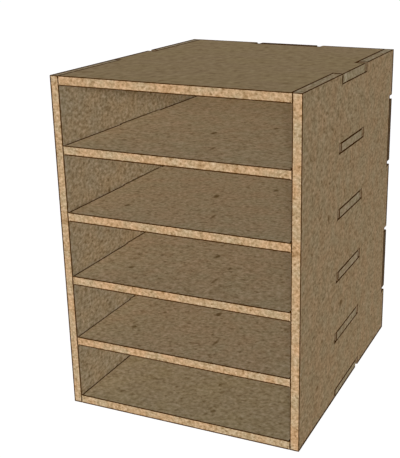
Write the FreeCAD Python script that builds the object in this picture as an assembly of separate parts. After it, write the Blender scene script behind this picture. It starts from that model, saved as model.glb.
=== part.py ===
import FreeCAD, Part
import os

# Open-front cabinet with a stack of equal compartments for stamp sets, slotted together from flat
# boards of one thickness. Every joint is a tab in a through slot or in an edge notch, and every tab
# ends flush with the outer face of the board that it passes through.
#
# Millimetres. +Z is up and the open front faces -Y. The origin is on the surface that the cabinet
# stands on, under the middle of its width and depth.

# Boards
board = 6.0  # thickness of every board

# The free space that each compartment gives
clear_width = 149.2
clear_depth = 184.7
clear_height = 36.8
compartments = 5

# Tabs, and the slots and notches that take them
slot_length = 52.4  # every slot and notch, along the board
end_gap = 4.0  # room left at each end of a tab of a shelf, and of the back in the top and bottom
back_side_gap = 3.0  # the same for the back panel's tabs in the sides
rear_gap = 5.0  # room behind the tabs of the top and bottom, which rest at the front of their notch
slot_play = 0.1  # room above a shelf's tab, so that it slides into its slot
back_tab_spacing = 101.8  # between the middles of the back panel's two tabs on each side
end_notch_middle = 0.8  # middle of the notches for the top and bottom, behind that of the depth

# Outer size
pitch = clear_height + board
width = clear_width + 2 * board
depth = clear_depth + board
height = compartments * pitch + board

# Planes that the boards share
inner = clear_width / 2
outer = width / 2
front = -depth / 2
rear = depth / 2
back_face = rear - board
under_top = height - board

# Lengths of the tabs, and places of the joints
tab_length = slot_length - 2 * end_gap
back_tab_length = slot_length - 2 * back_side_gap
shelf_middle = (front + back_face) / 2
end_notch_front = end_notch_middle - slot_length / 2
end_notch_rear = end_notch_middle + slot_length / 2
back_tab_heights = [(height - back_tab_spacing) / 2, (height + back_tab_spacing) / 2]
shelf_heights = [n * pitch for n in range(1, compartments)]  # undersides, from the bottom up


def block(x_span, y_span, z_span):
    """Solid block between two corners, each span as (low, high)."""
    (x0, x1), (y0, y1), (z0, z1) = x_span, y_span, z_span
    return Part.makeBox(x1 - x0, y1 - y0, z1 - z0, FreeCAD.Vector(x0, y0, z0))


def along(middle, length):
    """Span of one length about its middle."""
    return middle - length / 2, middle + length / 2


def side_panel(x_span):
    """Upright side: a slot for each shelf, and notches for the top, the bottom and the back."""
    panel = block(x_span, (front, rear), (0, height))
    cuts = []
    for z in shelf_heights:
        cuts.append(block(x_span, along(shelf_middle, slot_length), (z, z + board + slot_play)))
    for z_span in ((0, board), (under_top, height)):
        cuts.append(block(x_span, (end_notch_front, end_notch_rear), z_span))
    for z in back_tab_heights:
        cuts.append(block(x_span, (back_face, rear), along(z, slot_length)))
    return panel.cut(Part.makeCompound(cuts))


def shelf(z):
    """Shelf from the front edge to the back panel, with one tab into each side."""
    z_span = (z, z + board)
    panel = block((-inner, inner), (front, back_face), z_span)
    tabs = block((-outer, outer), along(shelf_middle, tab_length), z_span)
    return panel.fuse(tabs).removeSplitter()


def end_panel(z):
    """Top or bottom: full depth between the sides, with a notch for the back panel's tab."""
    z_span = (z, z + board)
    panel = block((-inner, inner), (front, rear), z_span)
    tabs = block((-outer, outer), (end_notch_front, end_notch_rear - rear_gap), z_span)
    notch = block(along(0, slot_length), (back_face, rear), z_span)
    return panel.fuse(tabs).removeSplitter().cut(notch)


def back_panel():
    """Back, let in between the four outer boards, with tabs into all of them."""
    y_span = (back_face, rear)
    panel = block((-inner, inner), y_span, (board, under_top))
    tabs = [block(along(0, tab_length), y_span, (0, height))]
    for z in back_tab_heights:
        tabs.append(block((-outer, outer), y_span, along(z, back_tab_length)))
    return panel.fuse(tabs).removeSplitter()


nodes = {
    "left_side": side_panel((-outer, -inner)),
    "right_side": side_panel((inner, outer)),
    "bottom_panel": end_panel(0),
    "top_panel": end_panel(under_top),
    "back_panel": back_panel(),
}
for number, z in enumerate(shelf_heights, start=1):
    nodes[f"shelf_{number}"] = shelf(z)

os.makedirs("parts", exist_ok=True)
for name, shape in nodes.items():
    shape.exportStep(f"parts/{name}.step")
    size = shape.BoundBox
    print(f"{name:13} {size.XLength:6.1f} x {size.YLength:6.1f} x {size.ZLength:6.1f} mm")
print(f"cabinet       {width:6.1f} wide, {depth:.1f} deep, {height:.1f} high")
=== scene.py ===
# %% [markdown]
# # A cabinet for craft stamps
#
# An open-front cabinet with five equal compartments, stacked one above the other, in which flat
# sets of craft stamps are stored. It is slotted together from nine boards of 6 mm MDF with no nail
# and no screw: each shelf has a tab at both ends that passes through a slot in the side and ends
# flush with its outer face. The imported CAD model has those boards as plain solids. This lesson
# models each of them again with softened, scorched arrises and the face of real fibreboard.

# %% Load the frame
import math

import bmesh
import bpy
from mathutils import Matrix, Vector


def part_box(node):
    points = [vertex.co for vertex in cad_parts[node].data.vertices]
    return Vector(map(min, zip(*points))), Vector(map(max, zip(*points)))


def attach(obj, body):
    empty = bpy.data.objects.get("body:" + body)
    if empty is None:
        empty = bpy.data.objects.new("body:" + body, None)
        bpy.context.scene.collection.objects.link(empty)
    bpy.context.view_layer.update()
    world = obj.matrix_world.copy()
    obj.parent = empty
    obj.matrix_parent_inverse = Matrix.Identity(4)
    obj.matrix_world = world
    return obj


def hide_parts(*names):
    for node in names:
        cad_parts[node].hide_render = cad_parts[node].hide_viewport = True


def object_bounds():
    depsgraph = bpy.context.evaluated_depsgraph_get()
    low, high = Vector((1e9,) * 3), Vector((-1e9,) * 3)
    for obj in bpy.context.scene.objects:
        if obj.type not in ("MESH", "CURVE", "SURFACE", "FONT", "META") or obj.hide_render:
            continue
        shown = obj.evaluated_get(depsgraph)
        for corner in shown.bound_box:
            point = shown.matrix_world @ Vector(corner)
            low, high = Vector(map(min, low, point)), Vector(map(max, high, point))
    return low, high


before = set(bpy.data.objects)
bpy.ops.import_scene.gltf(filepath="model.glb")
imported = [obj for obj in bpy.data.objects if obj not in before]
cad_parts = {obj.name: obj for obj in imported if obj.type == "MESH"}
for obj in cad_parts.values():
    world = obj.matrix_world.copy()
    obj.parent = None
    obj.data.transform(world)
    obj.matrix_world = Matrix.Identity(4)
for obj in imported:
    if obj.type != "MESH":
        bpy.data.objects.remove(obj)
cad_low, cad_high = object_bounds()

MM = 0.001  # Blender counts in metres, and the boards are drawn in millimetres
cad_size = cad_high - cad_low
print("CAD box in mm:", [round(side / MM, 1) for side in cad_size])

# %% [markdown]
# ## The camera
#
# The cabinet is seen from its right and from above, about 22 degrees round and 18 degrees down. It
# stands left of the point that the lens looks straight at. Turning the camera to face it would
# change how its edges run together, so the lens is shifted instead. That moves the image across the
# sensor and leaves the perspective alone. The focal length is given in pixels of the finished
# frame, so it holds for a sensor of any width.

# %% Stand the camera
FRAME_SIZE = (400, 458)  # pixels across and down
FOCAL = 880.617  # focal length in pixels
LENS_MIDDLE = (270.839, 212.218)  # the pixel that the lens looks straight at
TURN = 0.386551  # radians, round the upright axis
TILT = 0.314077  # radians, downwards
STAND = (0.23999, -0.53213, 0.30451)  # where the lens is, in metres
SENSOR = 36  # width of the sensor in mm

ahead = Vector((
    -math.sin(TURN) * math.cos(TILT),
    math.cos(TURN) * math.cos(TILT),
    -math.sin(TILT),
))
right = Vector((math.cos(TURN), math.sin(TURN), 0))
up = right.cross(ahead)
place = Matrix((right, up, -ahead)).transposed().to_4x4()
place.translation = STAND

bpy.ops.object.camera_add()
camera = bpy.context.object
camera.name = "camera"
camera.matrix_world = place
camera.data.sensor_width = SENSOR
camera.data.lens = FOCAL / max(FRAME_SIZE) * SENSOR
camera.data.shift_x = (FRAME_SIZE[0] / 2 - LENS_MIDDLE[0]) / max(FRAME_SIZE)
camera.data.shift_y = (LENS_MIDDLE[1] - FRAME_SIZE[1] / 2) / max(FRAME_SIZE)
bpy.context.scene.camera = camera
shift = [round(value, 3) for value in (camera.data.shift_x, camera.data.shift_y)]
print("lens", round(camera.data.lens, 1), "mm, shift", shift)

# %% [markdown]
# ## The light
#
# Raw fibreboard is matt, so its colour on a face depends mostly on how squarely the light meets it.
# Here the light comes from close around the camera, as from a ring light about the lens: the front
# edges meet it squarely and look pale tan, and the top and the sides are grazed by it and look
# brown, though every board is cut from the same kind of sheet. Such light also reaches the bottom
# of each compartment. Two lamps share the work. The key casts soft shadows, and the fill casts
# none, as the light does that a white room throws back. A third lamp behind keeps the back and the
# left side readable, and it doesn't touch any face that the camera sees.

# %% Hang the lamps
def hang_sun(name, toward, strength, angle, shadow):
    """Adds a far lamp that shines from the direction toward.

    strength 1 shows a colour as it is on a face that the light meets squarely. angle is how wide
    the lamp looks in the sky, in degrees, so a large one gives soft shadows.
    """
    bpy.ops.object.light_add(type="SUN", location=Vector(toward).normalized())
    lamp = bpy.context.object
    lamp.name = name
    lamp.rotation_euler = Vector(toward).to_track_quat("Z", "Y").to_euler()
    lamp.data.energy = strength * math.pi
    lamp.data.angle = math.radians(angle)
    lamp.data.use_shadow = shadow
    print(name, "strength", round(strength, 2), "shadow", shadow)
    return lamp


hang_sun("key", toward=(0.366, -0.906, 0.213), strength=0.50, angle=8, shadow=True)
hang_sun("fill", toward=(0.115, -0.424, 0.191), strength=0.479, angle=20, shadow=False)
back_light = hang_sun("back_light", toward=(-0.50, 0.80, 0.05), strength=0.45, angle=20, shadow=True)
back_light.visible_glossy = False

# %% [markdown]
# ## The room
#
# A white room: rays from the camera, and rays mirrored by a glossy or clear surface, see plain
# white. Everything else gets a faint even glow, so no corner is quite black. A real room can't
# treat the two apart, but here it keeps the white of the backdrop out of the light on the boards.

# %% Light the room
ROOM_GLOW = 0.06  # how much the room itself lights the boards


def add(tree, kind, settings, inputs):
    """Adds one node: settings are its own fields, inputs its sockets, each a value or a link."""
    made = tree.nodes.new(kind)
    for field, value in settings.items():
        setattr(made, field, value)
    for socket, value in inputs.items():
        if isinstance(value, bpy.types.NodeSocket):
            tree.links.new(value, made.inputs[socket])
        else:
            made.inputs[socket].default_value = value
    return made


def in_view(tree):
    """Gives 1 for a ray that the camera sends out or a surface mirrors or lets through, else 0."""
    path = add(tree, "ShaderNodeLightPath", {}, {})
    mirrored = add(tree, "ShaderNodeMath", {"operation": "MAXIMUM"},
                   {0: path.outputs["Is Glossy Ray"], 1: path.outputs["Is Transmission Ray"]})
    seen = add(tree, "ShaderNodeMath", {"operation": "MAXIMUM"},
               {0: path.outputs["Is Camera Ray"], 1: mirrored.outputs[0]})
    return seen.outputs[0]


world = bpy.data.worlds.new("white_room")
world.use_nodes = True
bpy.context.scene.world = world
room = world.node_tree
room.nodes.clear()
glow = add(room, "ShaderNodeMapRange", {}, {"Value": in_view(room), "To Min": ROOM_GLOW, "To Max": 1.0})
sky = add(room, "ShaderNodeBackground", {}, {"Color": (1, 1, 1, 1), "Strength": glow.outputs[0]})
add(room, "ShaderNodeOutputWorld", {}, {"Surface": sky.outputs[0]})
bpy.context.scene.view_settings.view_transform = "Standard"
print("the room has", len(room.nodes), "nodes")

# %% [markdown]
# ## The floor
#
# A large pale sheet. To the camera it glows a little, so that it is as white as the room behind it
# and no horizon shows, and it still takes the soft shadow that falls behind the cabinet. It lies a
# hair lower than the cabinet's underside, because two faces in one plane show through each other.

# %% Lay the floor
FLOOR_SIZE = 8  # metres
FLOOR_DROP = 0.0002  # metres
FLOOR_GLOW = 0.85  # how much of its white to the camera is its own light

bpy.ops.mesh.primitive_plane_add(size=FLOOR_SIZE, location=(0, 0, -FLOOR_DROP))
floor = bpy.context.object
floor.name = "floor"
paper = bpy.data.materials.new("white_paper")
paper.use_nodes = True
sheet = paper.node_tree
sheet.nodes.clear()
lift = add(sheet, "ShaderNodeMath", {"operation": "MULTIPLY"}, {0: in_view(sheet), 1: FLOOR_GLOW})
matt = add(sheet, "ShaderNodeBsdfDiffuse", {}, {"Color": (0.5, 0.5, 0.5, 1)})
shine = add(sheet, "ShaderNodeEmission", {}, {"Color": (1, 1, 1, 1), "Strength": lift.outputs[0]})
both = add(sheet, "ShaderNodeAddShader", {}, {0: matt.outputs[0], 1: shine.outputs[0]})
add(sheet, "ShaderNodeOutputMaterial", {}, {"Surface": both.outputs[0]})
floor.data.materials.append(paper)
print("the floor is", FLOOR_SIZE, "m wide and has", len(sheet.nodes), "nodes")

# %% [markdown]
# ## The finish: raw medium density fibreboard
#
# MDF is wood that was steamed, ground to fibres and pressed with resin. Its face is matt and tan,
# with a mottle of fibre bundles a millimetre or two long that lie flat in the sheet, soft clouds of
# redder and yellower wood, and dark flecks of bark. An image of such a face could be laid on, but it
# would repeat, and every piece would have to be unwrapped for it. Noise that is read from the
# object's own coordinates runs through the board as the fibres do, so it needs no unwrapping and
# goes round each arris. The next cells build it up layer by layer, and one function joins them.

# %% Helpers for colours and sizes
def colour(hex_code):
    """Turns an sRGB hex colour into the linear values that Blender's sockets take."""
    parts = [int(hex_code[i:i + 2], 16) / 255 for i in (1, 3, 5)]
    linear = [p / 12.92 if p <= 0.04045 else ((p + 0.055) / 1.055) ** 2.4 for p in parts]
    return (*linear, 1)


def every(size_mm):
    """Texture scale at which a pattern repeats about once in this many millimetres."""
    return 1 / (size_mm * MM)


print("mid grey, #808080, is", round(colour("#808080")[0], 3), "in linear light")

# %% [markdown]
# ## Clouds of wood, fibre bundles and flecks
#
# The clouds set the hue: a very soft noise mixes two tans. The bundles set the lightness, as a
# factor about 1, because a dark fibre is the same wood with less light on it. The flecks are only
# the peaks of a coarser noise, so they are few and apart, as ground bark is.

# %% Lay the fibres
BUNDLE = 2.2  # size of a fibre bundle in mm
FLECK = 2.9  # size in mm of the noise whose peaks are the flecks of bark
FLECK_FROM = 0.60  # the noise is 0.5 on average, and a fleck starts here
FLECK_TO = 0.74  # and is darkest here


def lay_clouds(tree, where, yellower, redder, size):
    """Soft clouds of redder and yellower wood, size mm across."""
    clouds = add(tree, "ShaderNodeTexNoise", {},
                 {"Vector": where, "Scale": every(size), "Detail": 1, "Roughness": 0.4})
    wood = add(tree, "ShaderNodeValToRGB", {}, {"Fac": clouds.outputs["Fac"]})
    # nearly all of the noise lies between these two positions
    wood.color_ramp.elements[0].position = 0.32
    wood.color_ramp.elements[0].color = colour(yellower)
    wood.color_ramp.elements[1].position = 0.68
    wood.color_ramp.elements[1].color = colour(redder)
    return wood.outputs["Color"]


def lay_bundles(tree, bundles, mottle):
    """The light that the bundles leave: 1 on average, and mottle from the palest to the darkest."""
    light = add(tree, "ShaderNodeMapRange", {"clamp": False},
                {"Value": bundles, "From Min": 0.0, "From Max": 1.0,
                 "To Min": 1 - mottle / 2, "To Max": 1 + mottle / 2})
    return light.outputs[0]


def strew_flecks(tree, lying, shade, fleck):
    """Darkens the shade by the share fleck in small bits of bark."""
    bark = add(tree, "ShaderNodeTexNoise", {},
               {"Vector": lying, "Scale": every(FLECK), "Detail": 1, "Roughness": 0.5})
    peaks = add(tree, "ShaderNodeMapRange", {"interpolation_type": "SMOOTHSTEP"},
                {"Value": bark.outputs["Fac"], "From Min": FLECK_FROM, "From Max": FLECK_TO,
                 "To Min": 1.0, "To Max": 1 - fleck})
    flecked = add(tree, "ShaderNodeMath", {"operation": "MULTIPLY"}, {0: shade, 1: peaks.outputs[0]})
    return flecked.outputs[0]


print("bundles of", BUNDLE, "mm, flecks at the peaks of a noise of", FLECK, "mm")

# %% [markdown]
# ## The larger bits of bark
#
# A sheet also has a few bits of bark that are millimetres long, and they are what the eye knows a
# board by. Noise can't put one in a wanted place, so each is an ellipsoid with a middle and three
# half sizes, and noise frays its rim. One that is very long along an axis runs right through the
# cabinet, so every board that it crosses shows it.

# %% Let in the bits of bark
MARK_FULL = 0.9  # distance from the middle, in half sizes plus the noise, where a mark is full
MARK_GONE = 1.7  # and where it is gone


def let_in_marks(tree, where, fray, shade, marks):
    """Multiplies the shade by each mark's share of the light, inside that mark."""
    for middle, half, left in marks:
        centred = add(tree, "ShaderNodeMapping", {"vector_type": "TEXTURE"},
                      {"Vector": where, "Location": Vector(middle) * MM, "Scale": Vector(half) * MM})
        away = add(tree, "ShaderNodeVectorMath", {"operation": "LENGTH"}, {0: centred.outputs[0]})
        frayed = add(tree, "ShaderNodeMath", {"operation": "ADD"},
                     {0: away.outputs["Value"], 1: fray})
        lump = add(tree, "ShaderNodeMapRange", {"interpolation_type": "SMOOTHSTEP"},
                   {"Value": frayed.outputs[0], "From Min": MARK_FULL, "From Max": MARK_GONE,
                    "To Min": left, "To Max": 1.0})
        marked = add(tree, "ShaderNodeMath", {"operation": "MULTIPLY"}, {0: shade, 1: lump.outputs[0]})
        shade = marked.outputs[0]
    return shade


print("the noise is 0.5 on average, so a mark is full within", round(MARK_FULL - 0.5, 1),
      "of its half size and gone at", round(MARK_GONE - 0.5, 1))

# %% [markdown]
# ## Char
#
# The boards were cut with a laser, which leaves a line of char along every arris. It could be a
# strip of its own, but a strip has a hard rim. Here the corners of the faces carry a number, the
# attribute scorch: how deep inside the char a point lies, in mm, and below 0 outside it. The shader
# turns it into a line and frays it by the same noise that frays the bark. Char this thin isn't
# black but a deep brown, the colour of toasted wood.

# %% Draw the char
CHAR = "#482a04"
CHAR_FRAY = 0.3  # mm from the deepest to the shallowest bay of the line
CHAR_FROM = 0.09  # mm where the brown sets in, the noise included
CHAR_TO = 0.21  # mm where it is full


def draw_char(tree, fray, board_colour):
    """Lays the char over the colour of the board."""
    scorch = add(tree, "ShaderNodeAttribute", {"attribute_name": "scorch"}, {})
    ragged = add(tree, "ShaderNodeMath", {"operation": "MULTIPLY_ADD"},
                 {0: fray, 1: CHAR_FRAY, 2: scorch.outputs["Fac"]})
    burnt = add(tree, "ShaderNodeMapRange", {"interpolation_type": "SMOOTHSTEP"},
                {"Value": ragged.outputs[0], "From Min": CHAR_FROM, "From Max": CHAR_TO})
    charred = add(tree, "ShaderNodeMix", {"data_type": "RGBA"},
                  {"Factor": burnt.outputs[0], 6: board_colour, 7: colour(CHAR)})
    return charred.outputs[2]


print("char", [round(part, 3) for part in colour(CHAR)[:3]])

# %% [markdown]
# ## The fibreboard as a whole
#
# A dark fibre is browner and a pale one greyer, so the shade isn't one factor for all: it is raised
# to a power for each of red, green and blue, and blue changes most. Loose fibres catch the light a
# little differently, so the roughness follows the bundles. The bundles also stand up a few
# hundredths of a millimetre, with a finer fuzz between them, and that is too small for geometry, so
# it is a bump.

# %% Make the fibreboard
HUE_POWER = (0.86, 1.01, 1.33)  # of the shade, in red, green and blue
FUZZ = 0.7  # size of the finer fuzz in mm
RIM = 2.0  # size of the noise that frays bark and char, in mm


def make_fibreboard(name, yellower, redder, cloud, lie, mottle, fleck=0.36, depth=0.04, marks=()):
    """Makes one finish of the board.

    yellower and redder are the two woods, and cloud is how large their patches are, in mm. lie says
    how much longer the fibre bundles are along x, y and z, mottle how much they differ in
    lightness, and fleck how dark the small bits of bark are. depth is the height of the fibres in
    mm. marks are the few large bits of bark: the middle and the half sizes of each in mm, and the
    share of the light that it leaves, which is above 1 for a pale bit.
    """
    made = bpy.data.materials.new(name)
    made.use_nodes = True
    tree = made.node_tree
    tree.nodes.clear()
    where = add(tree, "ShaderNodeTexCoord", {}, {}).outputs["Object"]
    lying = add(tree, "ShaderNodeMapping", {"vector_type": "TEXTURE"},
                {"Vector": where, "Scale": lie}).outputs[0]
    bundles = add(tree, "ShaderNodeTexNoise", {},
                  {"Vector": lying, "Scale": every(BUNDLE), "Detail": 2, "Roughness": 0.65})
    fray = add(tree, "ShaderNodeTexNoise", {},
               {"Vector": where, "Scale": every(RIM), "Detail": 2}).outputs["Fac"]

    wood = lay_clouds(tree, where, yellower, redder, cloud)
    shade = lay_bundles(tree, bundles.outputs["Fac"], mottle)
    shade = strew_flecks(tree, lying, shade, fleck)
    shade = let_in_marks(tree, where, fray, shade, marks)
    tinted = add(tree, "ShaderNodeVectorMath", {"operation": "POWER"}, {0: shade, 1: HUE_POWER})
    board_colour = add(tree, "ShaderNodeVectorMath", {"operation": "MULTIPLY"},
                       {0: wood, 1: tinted.outputs[0]})
    charred = draw_char(tree, fray, board_colour.outputs[0])

    # rougher between the bundles than on them, and raw fibre has hardly any shine
    dull = add(tree, "ShaderNodeMapRange", {},
               {"Value": bundles.outputs["Fac"], "From Min": 0.3, "From Max": 0.7,
                "To Min": 0.97, "To Max": 0.85})
    fuzz = add(tree, "ShaderNodeTexNoise", {},
               {"Vector": lying, "Scale": every(FUZZ), "Detail": 2, "Roughness": 0.7})
    height = add(tree, "ShaderNodeMath", {"operation": "ADD"},
                 {0: bundles.outputs["Fac"], 1: fuzz.outputs["Fac"]})
    raised = add(tree, "ShaderNodeBump", {},
                 {"Height": height.outputs[0], "Strength": 1.0, "Distance": depth * MM})
    shader = add(tree, "ShaderNodeBsdfPrincipled", {},
                 {"Base Color": charred, "Roughness": dull.outputs[0],
                  "Specular IOR Level": 0.03, "Normal": raised.outputs[0]})
    add(tree, "ShaderNodeOutputMaterial", {}, {"Surface": shader.outputs[0]})
    print(name, len(tree.nodes), "nodes")
    return made


# %% [markdown]
# ## The pressed faces
#
# The sides, the shelves, and the top, the bottom and the back each have a finish of their own, and
# the outer face of the last three is calmer. Its tan is painted a little darker than that of the
# sides: painted shade, so that the top looks darker, as a face does that the light grazes. The faces
# inside the cabinet, the shelves among them, are painted a little cooler than the faces outside. That
# is painted light too: it cancels the warm light that the boards throw on each other there. The
# bundles lie flat in the sheet, mostly along one side of it. The two long marks at the ends of the
# shelves are soot: where a tab goes through its slot, some of the char rubbed off onto the shelf.

# %% Make the finishes of the faces
THROUGH = 900  # half size, in mm, of a mark that runs right through the cabinet

side_marks = [
    ((0, -18, 67), (THROUGH, 3.8, 2.8), 0.46),
    ((0, -47, 135), (THROUGH, 2.4, 2.6), 0.50),
    ((0, -63, 27), (THROUGH, 3.2, 1.8), 0.50),
    ((0, -44, 191), (THROUGH, 5.0, 1.8), 0.72),
    ((0, 45, 125), (THROUGH, 4.2, 1.8), 0.74),
    ((0, -55, 56), (THROUGH, 2.6, 1.6), 0.60),
    ((0, 0, 31), (THROUGH, 1.6, 2.4), 0.72),
    ((0, -10, 196), (THROUGH, 6.0, 1.8), 0.83),
]
shelf_marks = [
    ((-4, -29, 0), (2.2, 3.9, THROUGH), 0.36),
    ((28, -2, 0), (2.0, 3.4, THROUGH), 0.40),
    ((13, -68.5, 0), (1.3, 6.5, THROUGH), 0.55),
    ((-48, -68, 0), (2.2, 2.2, THROUGH), 0.42),
    ((48, -34, 0), (1.4, 2.2, THROUGH), 0.66),
    ((-40, -40, 0), (1.6, 2.4, THROUGH), 0.62),
    ((13, -46, 0), (3.2, 1.5, THROUGH), 0.70),
    ((-55, -44, 0), (1.8, 2.2, THROUGH), 0.70),
    ((-74.4, -3, 0), (0.9, 44, THROUGH), 0.22),  # soot beside the tabs on the left
    ((74.4, -3, 0), (0.9, 44, THROUGH), 0.22),  # and on the right
]
bottom_marks = [
    ((16, -81, 0), (2.0, 2.6, THROUGH), 0.50),
    ((13, -86, 0), (1.5, 1.8, THROUGH), 0.66),
    ((-52, -81, 0), (1.5, 2.0, THROUGH), 0.66),
    ((11, -57, 0), (1.8, 2.6, THROUGH), 0.68),
    ((6, -49, 0), (1.6, 2.4, THROUGH), 0.70),
    ((80, -19.5, 0), (8, 2.4, THROUGH), 1.30),  # a pale bit on the ends of the tabs on the right
]
side_face = make_fibreboard("raw_mdf_side", "#bda580", "#c2a37c", cloud=11,
                            lie=(0.9, 1.3, 0.9), mottle=1.7, fleck=0.38, marks=side_marks)
# painted light: the inner faces are painted cooler than the outer ones, to cancel the warm light that
# the boards throw on each other inside; the tab ends and the upper and lower edges of the sides share
# this finish
side_inner = make_fibreboard("raw_mdf_side_inner", "#bbaa8c", "#c0a986", cloud=14,
                             lie=(1, 1.4, 1), mottle=2.05, marks=side_marks)
# painted light: the shelves are painted cooler too, to cancel the same warm light between the boards
shelf_face = make_fibreboard("raw_mdf_shelf", "#beab89", "#c1a987", cloud=14,
                             lie=(1.2, 1.1, 1), mottle=1.55, marks=shelf_marks)
# painted shade: this tan is a little darker than that of the sides, so the top looks darker; the
# underside and the back share this finish
top_face_painted_shade = make_fibreboard("raw_mdf_top_painted_shade", "#b69d79", "#b69e77", cloud=26,
                           lie=(2.2, 2.8, 1), mottle=0.9, fleck=0.22)
# painted light: the inner faces of the top, the bottom and the back are painted cooler, to cancel the
# same warm light between the boards
bottom_inner = make_fibreboard("raw_mdf_bottom_inner", "#beab8a", "#bfac87", cloud=16,
                               lie=(1.3, 1.2, 1), mottle=1.55, marks=bottom_marks)

# %% [markdown]
# ## The edges
#
# The laser smokes a cut edge greyish brown. Where edges end flush at the front and at the rear, they
# were rubbed back to the pale core, which is coarser and warmer than the pressed face. The sanded
# edges are one finish three times over, so that each can have the bits of bark where its own boards
# are cut through.

# %% Make the finishes of the edges
side_edge_marks = [
    ((0, 0, 128), (THROUGH, THROUGH, 2.4), 0.72),
    ((0, 0, 152), (THROUGH, THROUGH, 1.6), 0.86),
    ((0, 0, 30), (THROUGH, THROUGH, 1.4), 0.86),
    ((0, 0, 179), (THROUGH, THROUGH, 1.4), 0.87),
    ((0, 0, 9), (THROUGH, THROUGH, 1.4), 0.87),
    ((0, 0, 207), (THROUGH, THROUGH, 1.4), 0.88),
]
shelf_edge_marks = [
    ((18, 0, 0), (1.5, THROUGH, THROUGH), 0.78),
    ((-16, 0, 0), (1.4, THROUGH, THROUGH), 0.82),
    ((41, 0, 0), (1.4, THROUGH, THROUGH), 0.84),
    ((62, 0, 0), (1.2, THROUGH, THROUGH), 0.88),
]
end_edge_marks = [
    ((47, 0, 0), (1.9, THROUGH, THROUGH), 0.74),
    ((-51, 0, 0), (1.4, THROUGH, THROUGH), 0.84),
    ((0, 0, 217), (THROUGH, THROUGH, 8), 0.97),  # the top's edge is a little darker as a whole
]
sanded = {
    "yellower": "#bca481",
    "redder": "#c6a179",
    "cloud": 10,
    "lie": (0.92, 0.92, 0.82),
    "mottle": 2.0,
    "depth": 0.06,
}
side_edge = make_fibreboard("raw_mdf_side_sanded_edge", marks=side_edge_marks, **sanded)
shelf_edge = make_fibreboard("raw_mdf_shelf_sanded_edge", marks=shelf_edge_marks, **sanded)
end_edge = make_fibreboard("raw_mdf_end_sanded_edge", marks=end_edge_marks, **sanded)
cut_edge = make_fibreboard("raw_mdf_laser_cut_edge", "#72604a", "#7e694f", cloud=4,
                           lie=(1, 1, 1), mottle=1.2, fleck=0.3, depth=0.06)

# %% [markdown]
# ## The sizes
#
# In millimetres, from the middle of the cabinet's width and depth, and upwards from the surface it
# stands on. They are those of the CAD model, so that every board fills the place of its own solid.
# Only the arrises are the scene's own: no real board has a sharp one.

# %% Sizes of the boards
BOARD = 6.0  # thickness
INNER = 74.6  # from the middle to the inner face of a side
OUTER = 80.6  # from the middle to its outer face
FRONT = -95.35
BACK_FACE = 89.35  # inner face of the back
REAR = 95.35
HEIGHT = 220.0
UNDER_TOP = 214.0
PITCH = 42.8  # from one shelf to the next
SHELVES = 4
SLOT = 52.4  # length of every slot and notch
END_GAP = 4.0  # room at each end of a tab in its slot
BACK_SIDE_GAP = 3.0  # the same for the tabs of the back in the sides
REAR_GAP = 5.0  # room behind the tabs of the top and the bottom, and none in front of them
SLOT_PLAY = 0.1  # room above a shelf's tab
SHELF_MIDDLE = (FRONT + BACK_FACE) / 2  # middle of a shelf's tab
END_MIDDLE = 0.8  # middle of the notches in the sides for the top and the bottom
BACK_TABS = (59.1, 160.9)  # heights of the tabs of the back
ARRIS = 0.2  # how much of each arris is rubbed off
ARRIS_BAND = 2.7  # width of the band that is laid along each arris


def along(middle, length):
    """The two ends of a length about its middle."""
    return middle - length / 2, middle + length / 2


notch_from, notch_to = along(END_MIDDLE, SLOT)
slot_from, slot_to = along(SHELF_MIDDLE, SLOT)
print("slots for the shelves from", round(slot_from, 2), "to", round(slot_to, 2),
      "mm, notches for the top and the bottom from", round(notch_from, 2), "to", round(notch_to, 2))

# %% [markdown]
# ## How a board is cut
#
# A laser follows an outline on a flat sheet, and the boards are modelled in that order too. A plane
# is the blank. It is bisected along the lines of the cut, the waste cells are deleted, and what
# stays is extruded by the thickness of the board. A box with boolean cuts would give the same shape
# but tangled faces. A score is a cut that takes nothing away: it divides a face where its char has
# to change.

# %% Cut across the blank
SLIVER = 0.01  # mm, so that a cell that only touches the waste isn't taken for a part of it


def select_faces(wanted):
    """In edit mode, selects just the faces for which wanted(low, high, normal) is true, in mm."""
    bpy.ops.mesh.select_all(action="DESELECT")
    grid = bmesh.from_edit_mesh(bpy.context.edit_object.data)
    for face in grid.faces:
        places = [vertex.co / MM for vertex in face.verts]
        low = [min(at[axis] for at in places) for axis in range(3)]
        high = [max(at[axis] for at in places) for axis in range(3)]
        if wanted(low, high, face.normal):
            face.select_set(True)
    bmesh.update_edit_mesh(bpy.context.edit_object.data)


def bisect(axis, level):
    """Divides the selected faces at a level on one axis, in mm."""
    normal = Vector([float(number == axis) for number in range(3)])
    bpy.ops.mesh.bisect(plane_co=normal * level * MM, plane_no=normal)


def cut_away(first, second, low, high):
    """Cuts one rectangle out of the blank, by cuts across the first axis and then the second."""
    def touched(face_low, face_high, normal):
        return all(face_low[axis] < high[axis] - SLIVER and face_high[axis] > low[axis] + SLIVER
                   for axis in (first, second))

    for axis in (first, second):
        for level in (low[axis], high[axis]):
            select_faces(touched)
            bisect(axis, level)
    select_faces(touched)
    bpy.ops.mesh.delete(type="FACE")


# %% [markdown]
# ## From the blank to the board
#
# The blank is a plane of the board's full size, tabs and all, in the plane where the board will be.
# A box could be the start too, but while the blank is flat each cut is a single line, as it is for
# the laser. The thickness comes last, and with it the inner walls of every slot and notch.

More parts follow.
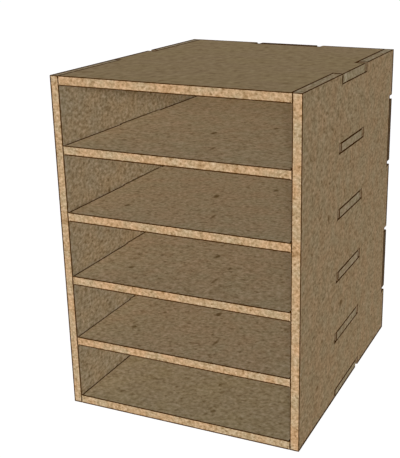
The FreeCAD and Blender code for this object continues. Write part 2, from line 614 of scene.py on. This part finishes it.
# %% Cut a board
def cut_board(name, thin, low, high, waste, scores=()):
    """Cuts a board that fills the box low..high, in mm, and is thin along one axis (0, 1 or 2).

    Each piece of waste says which two axes to cut across, and its lowest and highest corner. Each
    score is an axis and a level on it.
    """
    low, high = Vector(low), Vector(high)
    middle = (low + high) / 2
    middle[thin] = low[thin]
    turn = [(0, math.pi / 2, 0), (-math.pi / 2, 0, 0), (0, 0, 0)][thin]
    bpy.ops.object.select_all(action="DESELECT")
    bpy.ops.mesh.primitive_plane_add(size=1, location=middle * MM, rotation=turn)
    board = bpy.context.object
    board.name = name
    bpy.ops.object.transform_apply(location=False, rotation=True, scale=False)
    board.scale = (high - low) * MM
    bpy.ops.object.transform_apply(location=True, rotation=True, scale=True)

    bpy.ops.object.mode_set(mode="EDIT")
    bpy.ops.mesh.select_mode(type="FACE")
    for first, second, waste_low, waste_high in waste:
        cut_away(first, second, waste_low, waste_high)
    for axis, level in scores:
        bpy.ops.mesh.select_all(action="SELECT")
        bisect(axis, level)
    bpy.ops.mesh.select_all(action="SELECT")
    thickness = Vector([0.0, 0.0, 0.0])
    thickness[thin] = (high[thin] - low[thin]) * MM
    bpy.ops.mesh.extrude_region_move(TRANSFORM_OT_translate={"value": thickness})
    bpy.ops.mesh.select_all(action="SELECT")
    bpy.ops.mesh.normals_make_consistent(inside=False)
    bpy.ops.object.mode_set(mode="OBJECT")
    print(name, "cut:", len(waste), "pieces of waste,", len(board.data.polygons), "faces")
    return board


# %% [markdown]
# ## Softening the arrises
#
# A bevel takes the sharpness off every arris, and an inset lays a narrow band beside it. The
# corners of the band get the number 1 at the arris and 0 at its inner rim. A smoother rounding
# would need more faces for something a fifth of a millimetre wide, and the char hides it anyway.

# %% Soften the arrises
FLAT = 0.99  # a normal that has this much along an axis looks along it
SHARP = math.radians(40)  # where the surface turns by more than this, there is an arris


def soften(board):
    """Rubs down every arris and lays the scorched band beside it."""
    bpy.ops.object.mode_set(mode="EDIT")
    bpy.ops.mesh.select_mode(type="EDGE")
    bpy.ops.mesh.select_all(action="DESELECT")
    grid = bmesh.from_edit_mesh(board.data)
    for edge in grid.edges:
        if edge.is_convex and edge.calc_face_angle() > SHARP:
            edge.select_set(True)
    bmesh.update_edit_mesh(board.data)
    bpy.ops.mesh.bevel(offset=ARRIS * MM, segments=1, affect="EDGES")
    bpy.ops.mesh.select_mode(type="FACE")
    grid = bmesh.from_edit_mesh(board.data)
    scorch = grid.loops.layers.float.new("scorch")
    for face in grid.faces:
        for corner in face.loops:
            corner[scorch] = 1
    for axis in range(3):
        for side in (-1, 1):
            select_faces(lambda low, high, normal: normal[axis] * side > FLAT)
            bpy.ops.mesh.inset(thickness=ARRIS_BAND * MM, use_even_offset=True)
            grid = bmesh.from_edit_mesh(board.data)
            scorch = grid.loops.layers.float["scorch"]
            for face in grid.faces:
                if abs(face.normal[axis]) > FLAT:
                    for corner in face.loops:
                        if corner.vert.select:
                            corner[scorch] = 0
            bmesh.update_edit_mesh(board.data)
    bpy.ops.object.mode_set(mode="OBJECT")
    print(board.name, "softened:", len(board.data.polygons), "faces")


# %% [markdown]
# ## How wide the char is
#
# That depends on where an arris lies. The front was sanded, so little is left there. The outer
# arrises at the rear and below were never touched. In the inner corners the soot stays, a little
# more of it on each shelf upwards. Inside the slots there is none, because the gap at the end of a
# tab is dark as it is, and char would close it to the eye. One rule for every arris would be
# shorter, but then all boards would look drawn with one pen, so there is a rule for each kind of
# face. A width is in mm. The face that it is for looks along one axis and lies at a height on it,
# at. The arris lies at a level on the axis across it. side is -1 where the arris is at the low side
# of the face and 1 where it is at the high side.

# %% Say how wide the char is
X, Y, Z = range(3)
NEAR = 1  # mm: an arris this close to a plane lies in it


def width_on_ends(across, side, level, at):
    """Char on a face that looks forwards or back: front, rear, and the ends of tabs and slots."""
    if abs(at) < BACK_FACE - NEAR:  # inside a slot
        return 0.0
    if across == Z and side > 0:  # below a level arris
        return 0.23 if level < BOARD + NEAR else 0.30
    if across == Z:  # above a level arris: the lowest, that of the top, and those of the shelves
        if level < NEAR:
            return 0.75
        return 0.46 if level > UNDER_TOP - NEAR else 0.62
    if abs(level) > OUTER - NEAR:  # beside an outer corner, on the left and on the right
        return 0.75 if level < 0 else 0.24
    return 0.0 if side * level > 0 else 0.39  # at the end of a shelf, and inside a side


def width_across(looks, side, level):
    """Char beside an arris that runs across, on a face that runs back."""
    if level > BACK_FACE - NEAR:  # at the rear
        if level > REAR - NEAR or looks == Z:
            return 2.7
        return 1.4 if side > 0 else 0.3
    if looks == Z:  # along a tab, and along the front
        return 1.5 if abs(level) < SLOT else 0.45
    return 1.0 if abs(level - notch_from) < NEAR else 0.25  # in front of a notch, and elsewhere


def width_on_upright(level, at):
    """Char beside a level arris, on an upright face that runs back."""
    if abs(at) < OUTER - NEAR:  # inside the cabinet
        return 0.35 if level < BOARD + NEAR else 0.15
    if level < NEAR:
        return 1.7
    if level < BOARD + NEAR:
        return 0.52
    return 0.20 if level > UNDER_TOP - NEAR else 0.38


def width_on_level(side, level, at, middle):
    """Char beside an arris that runs back and has this middle, on a level face."""
    if abs(level) > OUTER - NEAR:  # beside an outer corner, on the left and on the right
        return 2.2 if level < 0 else 0.4
    if side * level < 0:
        return 0.1
    if slot_from < middle < slot_from + END_GAP or slot_to - END_GAP < middle < slot_to:
        return 0.0  # here the slot is open beside the tab
    if at < BOARD + NEAR or at > HEIGHT - NEAR:
        return 0.88 if middle < 0 else 1.1
    width = 0.6 + at / 200  # heavier from shelf to shelf, upwards
    return width if middle < 0 else 1.27 * width


def char_width(looks, across, side, level, at, middle):
    """The width of the char on a face, beside one arris."""
    if looks == Y:
        return width_on_ends(across, side, level, at)
    if across == Y:
        return width_across(looks, side, level)
    if looks == X:
        return width_on_upright(level, at)
    return width_on_level(side, level, at, middle)


print("char below the front arris of a shelf:", char_width(Y, Z, 1, PITCH + BOARD, FRONT, 0), "mm")

# %% [markdown]
# ## Burning the arrises
#
# The numbers 1 and 0 on the corners of the band become the depth inside the char: its width at the
# arris, and that much less the width of the band at the inner rim, so the char ends where the
# number passes 0. This is done last, when a board and its copies are in place.

# %% Burn the arrises
def looking(face_normal):
    """The axis that a face looks along."""
    return max(range(3), key=lambda axis: abs(face_normal[axis]))


def burn(board):
    """Turns the band's numbers from 1 and 0 to the depth inside the char, in mm."""
    grid = bmesh.new()
    grid.from_mesh(board.data)
    scorch = grid.loops.layers.float["scorch"]
    widest = 0
    for face in grid.faces:
        arris = [corner for corner in face.loops if corner[scorch] > 0.5]
        inner = [corner for corner in face.loops if corner[scorch] <= 0.5]
        if not arris:
            for corner in inner:
                corner[scorch] = -1
        elif inner:
            looks = looking(face.normal)
            spread = {}
            for axis in range(3):
                places = [corner.vert.co[axis] for corner in arris]
                if axis != looks:
                    spread[axis] = max(places) - min(places)
            across = min(spread, key=spread.get)
            level = arris[0].vert.co[across] / MM
            side = 1 if arris[0].vert.co[across] > inner[0].vert.co[across] else -1
            at = face.calc_center_median()[looks] / MM
            ends = [corner.vert.co[3 - looks - across] / MM for corner in arris]
            width = char_width(looks, across, side, level, at, sum(ends) / len(ends))
            widest = max(widest, width)
            for corner in arris:
                corner[scorch] = width
            for corner in inner:
                corner[scorch] = width - ARRIS_BAND
    grid.to_mesh(board.data)
    grid.free()
    print(board.name, "burnt, up to", widest, "mm wide")


# %% [markdown]
# ## Dressing the faces
#
# Each board has four finishes: its pressed face where it is turned outwards, its pressed face
# inside, its sanded edge and its laser-cut edge. Which one a face gets follows from where it looks
# and whether it lies on the outside of the cabinet. The ends of the tabs and the upper and lower
# edges of the sides were rubbed flush with the faces beside them, which leaves them about as tan as
# an inner face. All the edges of the back stay as the laser left them.

# %% Dress the faces
OUTSIDE, INSIDE, SANDED, CUT = range(4)  # places of the finishes on a board
ON_PLANE = 0.1  # mm: a face this close to the outside of the cabinet lies on it


def dress(board, thin, outer_finish, inner_finish, edge_finish):
    """Gives each face of a board its finish, by where it looks and whether it is on the outside."""
    finishes = [outer_finish, inner_finish, edge_finish, cut_edge]
    for finish in finishes:
        board.data.materials.append(finish)
    outside = ((-OUTER, OUTER), (FRONT, REAR), (0, HEIGHT))
    counts = [0, 0, 0, 0]
    for face in board.data.polygons:
        looks = looking(face.normal)
        level = face.center[looks] / MM
        outer = min(abs(level - end) for end in outside[looks]) < ON_PLANE
        if abs(face.normal[looks]) <= FLAT:  # the softened arris itself
            number = CUT
        elif looks == thin:
            number = OUTSIDE if outer else INSIDE
        elif thin == Y or not outer:
            number = CUT
        else:
            number = SANDED if looks == Y else INSIDE
        face.material_index = number
        counts[number] += 1
    for finish, count in zip(finishes, counts):
        print(board.name, finish.name, count, "faces")


# %% [markdown]
# ## Joining the frame
#
# A finished board rides on the cabinet's only body, takes the place of its plain CAD solid, and is
# measured beside it. A board that is there more than once is modelled once, and each copy gets a
# mesh of its own, because its char is its own too.

# %% Fit and copy a board
def report(board, node):
    """Prints a board's size beside that of the CAD node that it stands for."""
    low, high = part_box(node)
    corners = [board.matrix_world @ Vector(corner) for corner in board.bound_box]
    size = [max(at[axis] for at in corners) - min(at[axis] for at in corners) for axis in range(3)]
    print(board.name, [round(side / MM, 2) for side in size],
          "CAD", [round(side / MM, 2) for side in high - low])


def fit(board, node, thin, outer_finish, inner_finish, edge_finish):
    """Burns and dresses a board, and joins it to the frame in place of its CAD node."""
    burn(board)
    dress(board, thin, outer_finish, inner_finish, edge_finish)
    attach(board, "root")
    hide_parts(node)
    report(board, node)


def copy_board(board, name, shift):
    """A copy of a softened board with its own mesh, moved by shift in mm."""
    bpy.ops.object.select_all(action="DESELECT")
    board.select_set(True)
    bpy.context.view_layer.objects.active = board
    bpy.ops.object.duplicate(linked=False)
    copy = bpy.context.object
    copy.name = name
    bpy.ops.transform.translate(value=Vector(shift) * MM)
    bpy.ops.object.transform_apply(location=True, rotation=False, scale=False)
    return copy


# %% [markdown]
# ## The sides
#
# Each side has a through slot for every shelf and a notch in its top, bottom and rear edge. The two
# sides are the same, so the left one is cut and the right one is its copy. A notch is cut past the
# edge of the blank by a little, so that no sliver stays.

# %% Cut the sides
PAST = 1  # mm that a cut runs past the edge of the blank

side_waste = []
for z_from, z_to in ((-PAST, BOARD), (UNDER_TOP, HEIGHT + PAST)):
    side_waste.append((Z, Y, (0, notch_from, z_from), (0, notch_to, z_to)))
for z in BACK_TABS:
    side_waste.append((Y, Z, (0, BACK_FACE, z - SLOT / 2), (0, REAR + PAST, z + SLOT / 2)))
for number in range(1, SHELVES + 1):
    z = number * PITCH
    side_waste.append((Y, Z, (0, slot_from, z), (0, slot_to, z + BOARD + SLOT_PLAY)))

left_board = cut_board("left_board", X, (-OUTER, FRONT, 0), (-INNER, REAR, HEIGHT), side_waste)
soften(left_board)
right_board = copy_board(left_board, "right_board", (OUTER + INNER, 0, 0))
fit(left_board, "left_side", X, side_face, side_inner, side_edge)
fit(right_board, "right_side", X, side_face, side_inner, side_edge)

# %% [markdown]
# ## The shelves
#
# A shelf is a plain board with one tab at each end, a little shorter than the slot it goes into. It
# is cut once, at the lowest place, and copied three times upwards. It is scored at both ends of the
# slot, since its char stops where the slot lies open beside the tab.

# %% Cut the shelves
def beside_tabs(front, rear, tab_from, tab_to):
    """The waste at the four corners of a board that has one tab at each end."""
    waste = []
    for x_from, x_to in ((-OUTER - PAST, -INNER), (INNER, OUTER + PAST)):
        for y_from, y_to in ((front - PAST, tab_from), (tab_to, rear + PAST)):
            waste.append((X, Y, (x_from, y_from, 0), (x_to, y_to, 0)))
    return waste


shelf_waste = beside_tabs(FRONT, BACK_FACE, *along(SHELF_MIDDLE, SLOT - 2 * END_GAP))
first_shelf = cut_board("shelf_board_1", Z, (-OUTER, FRONT, PITCH),
                        (OUTER, BACK_FACE, PITCH + BOARD), shelf_waste,
                        ((Y, slot_from), (Y, slot_to)))
soften(first_shelf)
shelf_boards = [first_shelf]
for number in range(2, SHELVES + 1):
    higher = (0, 0, (number - 1) * PITCH)
    shelf_boards.append(copy_board(first_shelf, f"shelf_board_{number}", higher))
for number, board in enumerate(shelf_boards, start=1):
    fit(board, f"shelf_{number}", Z, shelf_face, shelf_face, shelf_edge)

# %% [markdown]
# ## The bottom and the top
#
# They run the full depth between the sides, with a tab at each end and a notch at the rear for the
# tab of the back. Their tabs rest against the front end of the notches in the sides.

# %% Cut the bottom and the top
end_waste = beside_tabs(FRONT, REAR, notch_from, notch_to - REAR_GAP)
end_waste.append((Y, X, (-SLOT / 2, BACK_FACE, 0), (SLOT / 2, REAR + PAST, 0)))
bottom_board = cut_board("bottom_board", Z, (-OUTER, FRONT, 0), (OUTER, REAR, BOARD), end_waste)
soften(bottom_board)
top_board = copy_board(bottom_board, "top_board", (0, 0, UNDER_TOP))
fit(bottom_board, "bottom_panel", Z, top_face_painted_shade, bottom_inner, end_edge)
fit(top_board, "top_panel", Z, top_face_painted_shade, bottom_inner, end_edge)

# %% [markdown]
# ## The back
#
# The back is let in between the four outer boards, flush with their rear edges, with two tabs into
# each side and one into the bottom and the top.

# %% Cut the back
back_waste = []
lower_from, lower_to = along(BACK_TABS[0], SLOT - 2 * BACK_SIDE_GAP)
upper_from, upper_to = along(BACK_TABS[1], SLOT - 2 * BACK_SIDE_GAP)
for x_from, x_to in ((-OUTER - PAST, -INNER), (INNER, OUTER + PAST)):
    for z_from, z_to in ((-PAST, lower_from), (lower_to, upper_from), (upper_to, HEIGHT + PAST)):
        back_waste.append((X, Z, (x_from, 0, z_from), (x_to, 0, z_to)))
tab_from, tab_to = along(0, SLOT - 2 * END_GAP)
for z_from, z_to in ((-PAST, BOARD), (UNDER_TOP, HEIGHT + PAST)):
    for x_from, x_to in ((-OUTER, tab_from), (tab_to, OUTER)):
        back_waste.append((Z, X, (x_from, 0, z_from), (x_to, 0, z_to)))
back_board = cut_board("back_board", Y, (-OUTER, BACK_FACE, 0), (OUTER, REAR, HEIGHT), back_waste)
soften(back_board)
fit(back_board, "back_panel", Y, top_face_painted_shade, bottom_inner, end_edge)
